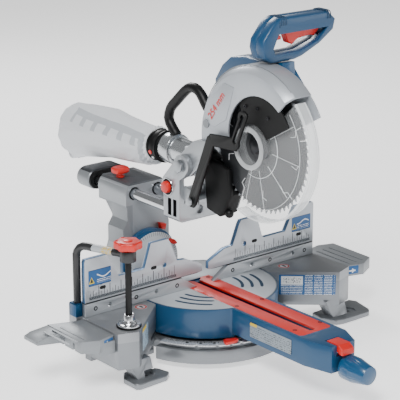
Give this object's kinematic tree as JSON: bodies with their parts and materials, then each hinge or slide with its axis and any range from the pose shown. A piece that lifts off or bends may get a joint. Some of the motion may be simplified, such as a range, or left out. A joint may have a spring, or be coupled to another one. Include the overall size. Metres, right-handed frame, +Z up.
{
  "type": "mitre saw",
  "caption": "Sliding dual-bevel mitre saw on its own four-footed base, with a raised blade head, clamp, fences, table extensions and dust bag.",
  "frame": {"origin": "on the bench plane, straight under the axis that the turntable swings on", "axes": "+X to the operator's right, +Y from the operator to the rear, +Z up; the fence face is Y = 0 and the upright blade is in X = 0"},
  "size_m": [0.775, 0.925, 0.656],
  "materials": {
    "blue_paint": "satin blue paint",
    "blue_plastic": "satin moulded blue",
    "silver_casting": "painted silver casting, bare on machined faces",
    "grey_casting": "grey cast aluminium",
    "red_plastic": "moulded red",
    "black_plastic": "satin black",
    "steel": "bare machined steel",
    "chrome": "bright plated",
    "clear_guard": "clear plastic",
    "bag_cloth": "pale woven bag with a grey band",
    "rubber": "matte rubber",
    "motor_core": "wound and varnished core"
  },
  "bodies": {
    "base": {"base_casting": "silver_casting", "mitre_scale": "steel", "left_lower_fence": "silver_casting", "right_lower_fence": "silver_casting", "mitre_pivot_bolt": "steel"},
    "left_extension": {"left_extension": "grey_casting"},
    "right_extension": {"right_extension": "grey_casting"},
    "left_fence": {"left_fence": "silver_casting"},
    "right_fence": {"right_fence": "silver_casting"},
    "clamp_post": {"clamp_arm": "black_plastic"},
    "clamp_screw": {"clamp_knob": "red_plastic", "clamp_screw": "black_plastic", "clamp_pad": "black_plastic"},
    "turntable": {"turntable": "blue_paint", "left_kerf_insert": "red_plastic", "right_kerf_insert": "red_plastic", "mitre_pointer": "red_plastic", "bevel_arc": "blue_paint", "bevel_stop": "red_plastic", "bevel_bolt": "steel"},
    "mitre_knob": {"mitre_lock_knob": "blue_plastic"},
    "detent_lever": {"detent_lever": "red_plastic"},
    "tower": {"rail_housing": "grey_casting", "left_slide_bush": "steel", "right_slide_bush": "steel", "bevel_pointer": "red_plastic"},
    "bevel_lever": {"bevel_lock_lever": "black_plastic"},
    "rail_knob": {"rail_lock_knob": "red_plastic"},
    "carriage": {"left_rail": "chrome", "right_rail": "chrome", "rear_rail_cap": "silver_casting", "rail_buffer": "rubber", "slide_carriage": "silver_casting"},
    "lock_pin": {"head_lock_pin": "red_plastic"},
    "guard_link": {"guard_link": "black_plastic"},
    "head": {"head_arm": "silver_casting", "upper_guard": "silver_casting", "gear_case": "blue_paint", "gear_cover": "blue_paint", "motor_housing": "blue_plastic", "motor_stator": "steel", "arbor_bearing": "steel", "drive_belt": "rubber", "handle_front_shell": "blue_plastic", "handle_rear_shell": "blue_plastic", "carry_handle": "black_plastic", "dust_pipe": "chrome", "dust_collar": "black_plastic", "dust_bag": "bag_cloth", "dust_boot": "rubber", "left_hinge_bolt": "steel", "right_hinge_bolt": "steel"},
    "blade": {"saw_blade": "steel", "arbor_shaft": "steel", "arbor_bolt": "steel"},
    "rotor": {"motor_armature": "motor_core"},
    "lower_guard": {"lower_guard": "clear_guard"},
    "trigger": {"trigger": "red_plastic"},
    "lock_off": {"lock_off_lever": "red_plastic"}
  },
  "joints": [
    {"name": "left_extension_slide", "type": "slide", "parent": "base", "child": "left_extension", "axis": [-1, 0, 0], "range_m": [0, 0.05]},
    {"name": "right_extension_slide", "type": "slide", "parent": "base", "child": "right_extension", "axis": [1, 0, 0], "range_m": [0, 0.05]},
    {"name": "left_fence_slide", "type": "slide", "parent": "base", "child": "left_fence", "axis": [-1, 0, 0], "range_m": [0, 0.18]},
    {"name": "right_fence_slide", "type": "slide", "parent": "base", "child": "right_fence", "axis": [-1, 0, 0], "range_m": [-0.18, 0]},
    {"name": "clamp_swing", "type": "hinge", "parent": "base", "child": "clamp_post", "pos_m": [-0.288, 0.021, 0.12], "axis": [0, 0, -1], "range_deg": [0, 60]},
    {"name": "clamp_feed", "type": "slide", "parent": "clamp_post", "child": "clamp_screw", "axis": [0, 0, 1], "range_m": [0, 0.06]},
    {"name": "mitre", "type": "hinge", "parent": "base", "child": "turntable", "pos_m": [0, 0, 0.11], "axis": [0, 0, 1], "range_deg": [-50, 50]},
    {"name": "mitre_knob_turn", "type": "hinge", "parent": "turntable", "child": "mitre_knob", "pos_m": [0, -0.42, 0.068], "axis": [0, -1, 0], "range_deg": [-180, 180]},
    {"name": "detent_lever_press", "type": "hinge", "parent": "turntable", "child": "detent_lever", "pos_m": [0, -0.364, 0.104], "axis": [-1, 0, 0], "range_deg": [0, 12], "stiffness_Nm_per_rad": 0.5, "springref_deg": -14.32},
    {"name": "bevel", "type": "hinge", "parent": "turntable", "child": "tower", "pos_m": [0, 0.15, 0.11], "axis": [0, -1, 0], "range_deg": [-45, 45]},
    {"name": "bevel_lever_turn", "type": "hinge", "parent": "tower", "child": "bevel_lever", "pos_m": [0, 0.248, 0.11], "axis": [0, 1, 0], "range_deg": [-40, 40]},
    {"name": "rail_knob_turn", "type": "hinge", "parent": "tower", "child": "rail_knob", "pos_m": [-0.025, 0.24, 0.29], "axis": [0, 0, 1], "range_deg": [-90, 90]},
    {"name": "head_slide", "type": "slide", "parent": "tower", "child": "carriage", "axis": [0, 1, 0], "range_m": [-0.03, 0.085]},
    {"name": "head_lock", "type": "slide", "parent": "carriage", "child": "lock_pin", "axis": [-1, 0, 0], "range_m": [0, 0.01]},
    {"name": "chop", "type": "hinge", "parent": "carriage", "child": "head", "pos_m": [0, 0.012, 0.356], "axis": [1, 0, 0], "range_deg": [0, 66], "stiffness_Nm_per_rad": 14, "springref_deg": -80.21, "deforming": ["dust_boot"]},
    {"name": "guard_link_swing", "type": "hinge", "parent": "carriage", "child": "guard_link", "pos_m": [-0.043, -0.012, 0.29], "axis": [1, 0, 0], "range_deg": [0, 66]},
    {"name": "lower_guard_swing", "type": "hinge", "parent": "head", "child": "lower_guard", "pos_m": [0, -0.162, 0.424], "axis": [1, 0, 0], "range_deg": [-139, 0]},
    {"name": "blade_spin", "type": "hinge", "parent": "head", "child": "blade", "pos_m": [0, -0.162, 0.424], "axis": [1, 0, 0], "continuous": true},
    {"name": "rotor_spin", "type": "hinge", "parent": "head", "child": "rotor", "pos_m": [0.1, -0.045, 0.45], "axis": [1, 0, 0], "continuous": true},
    {"name": "trigger_press", "type": "slide", "parent": "head", "child": "trigger", "axis": [0, 0, 1], "range_m": [0, 0.005], "stiffness_N_per_m": 600, "springref_m": -0.004},
    {"name": "lock_off_press", "type": "slide", "parent": "head", "child": "lock_off", "axis": [0, 0, 1], "range_m": [0, 0.003], "stiffness_N_per_m": 300, "springref_m": -0.004}
  ],
  "couplings": [
    {"joint": "lower_guard_swing", "follows": "chop", "ratio": -2.1},
    {"joint": "guard_link_swing", "follows": "chop", "ratio": 1},
    {"joint": "rotor_spin", "follows": "blade_spin", "ratio": 1.2}
  ]
}
